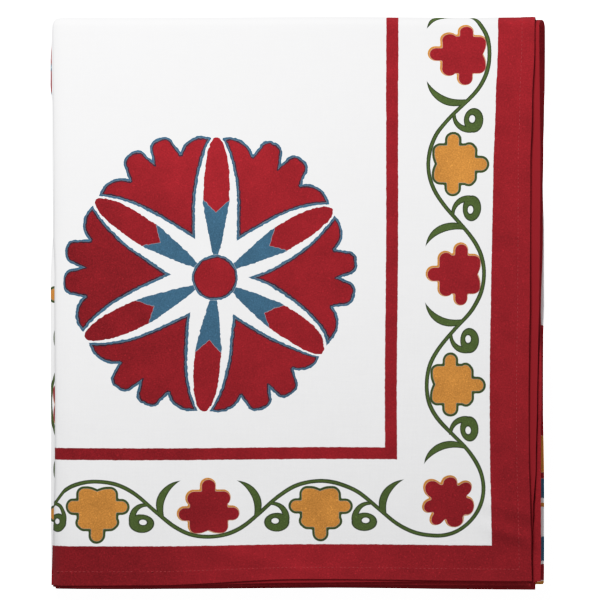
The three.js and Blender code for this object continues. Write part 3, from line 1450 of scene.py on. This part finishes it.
@dataclass(frozen=True)
class ClothPrint:
    """The whole print on the flat cloth, mirrored about both of its middle lines."""

    width: float
    length: float
    inks: Inks = Inks()
    border: VineBorder = VineBorder()
    rosette: Rosette = Rosette()
    medallion: Medallion = Medallion()
    side_band: float = 30.9
    end_band: float = 28.3
    side_stripe: Pair = (104.4, 114.0)
    end_stripe: Pair = (95.6, 105.1)
    rosette_place: Pair = (248.9, 239.6)
    rosette_step: float = 480.0
    far_rosette: Pair = (482.0, 480.0)
    inner_border: Pair = (419.0, 503.3)
    inner_start: float = 600.0
    inner_reach: float = 130.0
    inner_away: Pair = (1000.0, 3000.0)
    wobble: float = 1.0
    wobble_noise: Noise = Noise(34.0, 1.0, 3.7)
    shake: float = 0.9
    shake_noise: Noise = Noise(3.2, 1.0, 8.1)
    band_shake: float = 0.35
    band_noise: Noise = Noise(3.2, 1.0, 5.3)
    pull: float = 3.0
    pull_along: Pair = (200.0, 440.0)
    pull_across: Pair = (104.0, 30.0)

    def build(self) -> Group:
        """Makes the node group.

        Returns:
            The group, which turns a place on the flat cloth into its colour and its shares of ink.
        """
        outputs = {"Color": "Color", "Ink": "Float", "Red": "Float"}
        group = Group("Cloth print", ("Side", "End"), outputs)
        side, end = group.inputs["Side"], group.inputs["End"]
        flat = (side + end.step(*self.pull_along) * side.step(*self.pull_across) * self.pull, end)
        drawn = self.wobble_noise.move(flat, self.wobble)
        shaken = self.shake_noise.move(drawn, self.shake)
        ruled = self.band_noise.move(flat, self.band_shake)

        vine = self.border.build()
        u, v = self.from_edges(drawn)
        outer = vine.use(Side=u, End=v)
        hidden = v.math("LESS_THAN", self.inner_start)
        inner_side = (self.inner_border[0] - u).low(self.inner_reach) + hidden * self.inner_away[0]
        inner_end = v - self.inner_border[1] + hidden * self.inner_away[1]
        inner = vine.use(Side=inner_side, End=inner_end)
        bloom = self.rosettes(*self.from_edges(shaken))
        ring = self.medallion.build().use(Right=self.width / 2.0 - u, Up=self.length / 2.0 - v)

        bands = self.bands(*self.from_edges(ruled))
        red = bands.high(outer["Red"], inner["Red"], bloom["Red"], ring["Red"])
        blue = bloom["Blue"].high(ring["Blue"])
        ochre = outer["Ochre"].high(inner["Ochre"], ring["Ochre"])
        deep = outer["Deep"].high(inner["Deep"])
        green = outer["Green"].high(inner["Green"])
        inks = self.inks
        colour = inks.ground
        for mask, ink in (
            (red, inks.red), (blue, inks.blue), (ochre, inks.ochre),
            (bloom["Overlap"], inks.overlap), (deep, inks.deep_green), (green, inks.green),
        ):
            colour = mask.mix(colour, ink)
        group.put("Color", colour)
        group.put("Ink", red.high(blue, ochre, deep))
        group.put("Red", red * (1.0 - ochre))
        return group

    def from_edges(self, place: Place) -> Place:
        """Distances from the nearest side hem and the nearest end hem."""
        u = self.width / 2.0 - abs(place[0] - self.width / 2.0)
        v = self.length / 2.0 - abs(place[1] - self.length / 2.0)
        return u, v

    def bands(self, u: Wire, v: Wire) -> Wire:
        """Mask of the red band along the hems and of the stripe inside the vine.

        Args:
            u: Distance from the nearest side hem.
            v: Distance from the nearest end hem.

        Returns:
            The mask of the red ink.
        """
        band = (u - self.side_band).low(v - self.end_band)
        inside = (self.side_stripe[0] - u).high(self.end_stripe[0] - v)
        outside = (self.side_stripe[1] - u).high(self.end_stripe[1] - v)
        return band.low(inside.high(outside * -1.0)).cover()

    def rosettes(self, u: Wire, v: Wire) -> dict[str, Wire]:
        """Rosettes along the sides, with others set between them further in.

        Args:
            u: Distance from the nearest side hem.
            v: Distance from the nearest end hem.

        Returns:
            The masks of the rosettes' inks.
        """
        near, far = self.rosette_place, self.far_rosette
        is_far = (u - abs(v - far[1])).math("GREATER_THAN", near[0])
        half = self.rosette_step / 2.0
        row = (v - (near[1] - half)).math("MODULO", self.rosette_step) - half
        right = is_far.pick(far[0], near[0]) - u
        return self.rosette.build().use(Right=right, Up=is_far.pick(v - far[1], row))


@dataclass(frozen=True)
class Weave:
    """Plain weave of fine cotton: crossing threads with slubs, in millimetres."""

    thread: float = 0.42
    stretch: Pair = (6.0, 0.5)
    warp_slub: Noise = Noise(9.0, 2.0, 1.3)
    weft_slub: Noise = Noise(9.0, 2.0, 5.9)

    def build(self) -> Group:
        """Makes the node group.

        Returns:
            The group, which turns a place on the flat cloth into the weave's height and tone.
        """
        group = Group("Plain weave", ("Side", "End"), {"Height": "Float", "Tone": "Float"})
        side, end = group.inputs["Side"], group.inputs["End"]
        warp = (side * (math.pi / self.thread)).math("SINE")
        weft = (end * (math.pi / self.thread)).math("SINE")
        threads = abs(warp).high(abs(weft)) * 0.5 + warp * weft * 0.5
        fine, coarse = self.stretch
        lengthwise = self.warp_slub.value((side * fine, end * coarse))
        crosswise = self.weft_slub.value((side * coarse, end * fine))
        slubs = lengthwise + crosswise - 1.0
        group.put("Height", threads + slubs)
        group.put("Tone", slubs)
        return group


def matt(name: str, values: Mapping[str, object]) -> tuple[bpy.types.Material, bpy.types.Node]:
    """Makes a material with one shader.

    Args:
        name: The material's name.
        values: Inputs of the shader by name.

    Returns:
        The material and its shader.
    """
    material = bpy.data.materials.new(name)
    material.use_nodes = True
    shader = next(node for node in material.node_tree.nodes if node.type == "BSDF_PRINCIPLED")
    dial(shader, values)
    return material, shader


@dataclass(frozen=True)
class Patch:
    """A round patch of the flat cloth, in millimetres, with how much its ink differs."""

    side: float
    end: float
    reach: float
    share: float

    def mask(self, place: Place, core: float = 0.0) -> Wire:
        """Soft mask of the patch, full within a core that is a share of its reach."""
        away = (place[0] - self.side).span(place[1] - self.end)
        return away.step(self.reach, self.reach * core)


@dataclass
class CottonFinish:
    """Finishes of the cloth: its printed face, its paler reverse and its sewing thread."""

    cloth: FoldedCloth
    roughness: float = 0.93
    specular: float = 0.08
    sheen: float = 0.03
    sheen_roughness: float = 0.6
    bump: float = 0.25
    bump_reach: float = 0.00012
    slub_tone: float = 0.05
    bare: float = 0.08
    mottle: float = 0.5
    blot_noise: Noise = Noise(22.0, 3.0, 2.2)
    grain: float = 0.85
    grain_noise: Noise = Noise(1.1, 2.0, 6.4)
    fleck: float = 0.4
    fleck_noise: Noise = Noise(1.3, 1.0, 4.4)
    fleck_range: Pair = (0.62, 0.78)
    fleck_core: float = 0.4
    fleck_patches: tuple[Patch, ...] = (
        Patch(60.0, 18.0, 70.0, 0.45), Patch(150.0, 14.0, 60.0, 0.45), Patch(14.0, 60.0, 50.0, 0.45),
    )
    ink_patches: tuple[Patch, ...] = (
        Patch(345.0, 60.0, 190.0, 0.27), Patch(350.0, 240.0, 120.0, 0.28), Patch(15.0, 40.0, 130.0, 0.1),
        Patch(200.0, 10.0, 120.0, -0.18), Patch(248.0, 340.0, 90.0, -0.14), Patch(8.0, 420.0, 60.0, -0.1),
    )
    strike_through: float = 0.3
    # Painted shade and painted light: a darker and a lighter copy of the thread's one red, for the shaded
    # and lit sides of its twisted plies
    thread_shaded: tuple[float, ...] = linear(158, 48, 54)
    thread_lit: tuple[float, ...] = linear(188, 84, 86)
    twist: float = 1400.0
    twist_uneven: float = 1.5
    drawing: ClothPrint = field(init=False)
    print: Group = field(init=False)
    weave: Group = field(init=False)

    def __post_init__(self) -> None:
        """Builds the node groups that the materials share."""
        self.drawing = ClothPrint(self.cloth.sheet_width, self.cloth.length)
        self.print = self.drawing.build()
        self.weave = Weave().build()

    def start(self, name: str) -> tuple[bpy.types.Material, bpy.types.Node]:
        """Starts a matt cotton material.

        Args:
            name: The material's name.

        Returns:
            The material and its shader.
        """
        return matt(name, {
            "Roughness": self.roughness,
            "Specular IOR Level": self.specular,
            "Sheen Weight": self.sheen,
            "Sheen Roughness": self.sheen_roughness,
        })

    def flat_place(self, shader: bpy.types.Node) -> Place:
        """Reads the place on the flat cloth, in millimetres.

        Args:
            shader: The shader of the material that reads it.

        Returns:
            The distances from the side hem and from the front hem.
        """
        tree = shader.id_data
        source = tree.nodes.new("ShaderNodeUVMap")
        source.uv_map = FLAT_MAP
        parts = tree.nodes.new("ShaderNodeSeparateXYZ")
        tree.links.new(source.outputs[0], parts.inputs[0])
        return Wire(parts.outputs[0]), Wire(parts.outputs[1])

    def woven(self, shader: bpy.types.Node, place: Place) -> Wire:
        """Adds the weave's bump to a shader.

        Args:
            shader: The material's shader.
            place: The place on the flat cloth.

        Returns:
            The weave's tone, for the colour.
        """
        weave = self.weave.use(Side=place[0], End=place[1])
        bump = shader.id_data.nodes.new("ShaderNodeBump")
        dial(bump, {"Strength": self.bump, "Distance": self.bump_reach})
        plug(weave["Height"], bump.inputs["Height"])
        plug(Wire(bump.outputs[0]), shader.inputs["Normal"])
        return weave["Tone"] * self.slub_tone

    def printed(self) -> bpy.types.Material:
        """Makes the printed face.

        Returns:
            The material.
        """
        material, shader = self.start("Printed cotton")
        place = self.flat_place(shader)
        ink = self.print.use(Side=place[0], End=place[1])
        tone = self.woven(shader, place)
        blots = self.blot_noise.value(place) - 0.5
        specks = self.grain_noise.value(place) - 0.5
        flecks = self.fleck_noise.value(place).step(*self.fleck_range)
        worn = 1.0
        for patch in self.fleck_patches:
            worn = patch.mask(place, self.fleck_core) * patch.share + worn
        uneven = blots * self.mottle + specks * self.grain + flecks * worn * self.fleck
        for patch in self.ink_patches:
            uneven = uneven - patch.mask(place) * ink["Red"] * patch.share
        shade = uneven * (ink["Ink"] * (1.0 - self.bare) + self.bare) + tone + 1.0
        self.tint(ink["Color"], shade, shader)
        return material

    def reverse(self) -> bpy.types.Material:
        """Makes the reverse, where the print shows through and the turned hem shows its printed face.

        Returns:
            The material.
        """
        material, shader = self.start("Cotton reverse")
        place = self.flat_place(shader)
        ink = self.print.use(Side=place[0], End=place[1])
        tone = self.woven(shader, place)
        to_side, to_end = self.drawing.from_edges(place)
        hem = (to_side.low(to_end) - self.cloth.hem_width).cover()
        faint = hem.high(self.strike_through).mix(self.drawing.inks.ground, ink["Color"])
        self.tint(faint, tone + 1.0, shader)
        return material

    def tint(self, colour: Wire, shade: Wire, shader: bpy.types.Node) -> None:
        """Darkens or lightens a colour and sends it to a shader.

        Args:
            colour: The colour.
            shade: The factor.
            shader: The shader.
        """
        scale = colour.tree.nodes.new("ShaderNodeVectorMath")
        scale.operation = "SCALE"
        plug(colour, scale.inputs[0])
        plug(shade, scale.inputs["Scale"])
        plug(Wire(scale.outputs[0]), shader.inputs["Base Color"])

    def sewing(self) -> bpy.types.Material:
        """Makes the red sewing thread, with painted light and shade in fine bands along its twist.

        Returns:
            The material.
        """
        material, shader = self.start("Red sewing thread")
        tree = shader.id_data
        source = tree.nodes.new("ShaderNodeTexCoord")
        twist = tree.nodes.new("ShaderNodeTexWave")
        dial(twist, {"Scale": self.twist, "Distortion": self.twist_uneven})
        tree.links.new(source.outputs["Object"], twist.inputs["Vector"])
        # Painted light and shade: fine wave bands mix the shaded red and the lit red along the twist
        colour = Wire(twist.outputs["Fac"]).mix(self.thread_shaded, self.thread_lit)
        plug(colour, shader.inputs["Base Color"])
        return material


@dataclass(frozen=True)
class Lamp:
    """A soft square lamp that faces the cloth: its place and side in metres, and its power in watts."""

    name: str
    place: Triple
    size: float
    power: float


@dataclass
class Studio:
    """A plain pale floor, soft light from above and the camera straight over the cloth."""

    pixel: float = 0.79 * MM
    image: int = 600
    lens: float = 300.0
    sensor: float = 36.0
    aim: Pair = (1.78 * MM, 2.57 * MM)
    clip: float = 4.0
    floor_size: float = 4.0
    floor_drop: float = 0.3 * MM
    floor_colour: tuple[float, ...] = (0.9, 0.9, 0.9, 1.0)
    floor_roughness: float = 0.9
    floor_glow: float = 1.6
    lamps: tuple[Lamp, ...] = (
        Lamp("key_lamp", (-0.35, 0.75, 0.75), 0.5, 13.8),
        Lamp("side_lamp", (1.3, -0.1, 0.28), 0.5, 6.3),
    )
    room_light: float = 0.3
    film_range: float = 2.0
    film_curve: tuple[Pair, ...] = (
        (0.2, 0.2), (0.4, 0.4), (0.6, 0.595), (0.8, 0.765), (1.0, 0.865), (1.3, 0.937), (1.6, 0.97),
    )

    def floor(self) -> bpy.types.Object:
        """Lays the floor.

        Returns:
            The floor.
        """
        mesh = bmesh.new()
        bmesh.ops.create_grid(mesh, x_segments=2, y_segments=2, size=self.floor_size)
        bmesh.ops.translate(mesh, verts=mesh.verts, vec=Vector((0.0, 0.0, -self.floor_drop)))
        made = as_object(mesh, "studio_floor")
        made.data.materials.append(matt("Pale floor", {
            "Base Color": self.floor_colour,
            "Roughness": self.floor_roughness,
            "Emission Color": WHITE,
            "Emission Strength": self.floor_glow,
        })[0])
        made.visible_diffuse = False
        made.visible_glossy = False
        return made

    def light(self, lamp: Lamp) -> bpy.types.Object:
        """Hangs one lamp, out of the camera's sight.

        Args:
            lamp: The lamp.

        Returns:
            The lamp's object.
        """
        data = bpy.data.lights.new(lamp.name, "AREA")
        data.energy = lamp.power
        data.size = lamp.size
        made = placed(lamp.name, data)
        made.location = lamp.place
        made.rotation_euler = (-Vector(lamp.place)).to_track_quat("-Z", "Y").to_euler()
        made.visible_camera = False
        return made

    def lights(self) -> None:
        """Hangs the lamps and sets the room's own light."""
        for lamp in self.lamps:
            LOG.info("%s hung", self.light(lamp).name)
        world = bpy.data.worlds.new("Studio")
        world.use_nodes = True
        dial(world.node_tree.nodes["Background"], {"Color": WHITE, "Strength": self.room_light})
        bpy.context.scene.world = world

    def tone(self) -> None:
        """Sets the response of the film: even in the inks, with soft highlights on the white ground."""
        view = bpy.context.scene.view_settings
        view.view_transform = "Standard"
        view.use_curve_mapping = True
        mapping = view.curve_mapping
        mapping.white_level = (self.film_range,) * 3
        curve = mapping.curves[3]
        for light, shown in self.film_curve:
            curve.points.new(light / self.film_range, shown)
        mapping.update()

    def camera(self, top: float) -> bpy.types.Object:
        """Puts the camera straight over the cloth.

        Args:
            top: Height of the cloth's top, which is seen at the photograph's scale.

        Returns:
            The camera.
        """
        data = bpy.data.cameras.new("camera")
        data.lens = self.lens
        data.sensor_width = self.sensor
        made = placed("camera", data)
        distance = self.image * self.pixel * self.lens / self.sensor
        made.location = (*self.aim, top + distance)
        data.clip_end = distance * self.clip
        bpy.context.scene.camera = made
        return made


def main() -> None:
    """Builds the cloth, its sewing and the studio."""
    logging.basicConfig(level=logging.INFO, format="%(name)s: %(message)s")
    cloth = FoldedCloth()
    sheet = cloth.build()
    finish = CottonFinish(cloth)
    sheet.data.materials.append(finish.printed())
    sheet.data.materials.append(finish.reverse())
    LOG.info("%s: %d faces", sheet.name, len(sheet.data.polygons))
    LOG.info("flat size %.0f by %.0f mm", cloth.sheet_width, cloth.length)

    stitches = HemSewing(cloth).build()
    stitches.data.materials.append(finish.sewing())
    LOG.info("%s: %d faces", stitches.name, len(stitches.data.polygons))

    for piece, slot in ((sheet, "cotton"), (stitches, "thread")):
        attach(piece, BODY)
    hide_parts(CLOTH_NODE)
    cloth.sheet_width * MM

    studio = Studio()
    LOG.info("%s laid", studio.floor().name)
    studio.lights()
    studio.tone()
    LOG.info("%s placed", studio.camera(CAD_BOX[1].z).name)


if __name__ == "__main__":
    main()
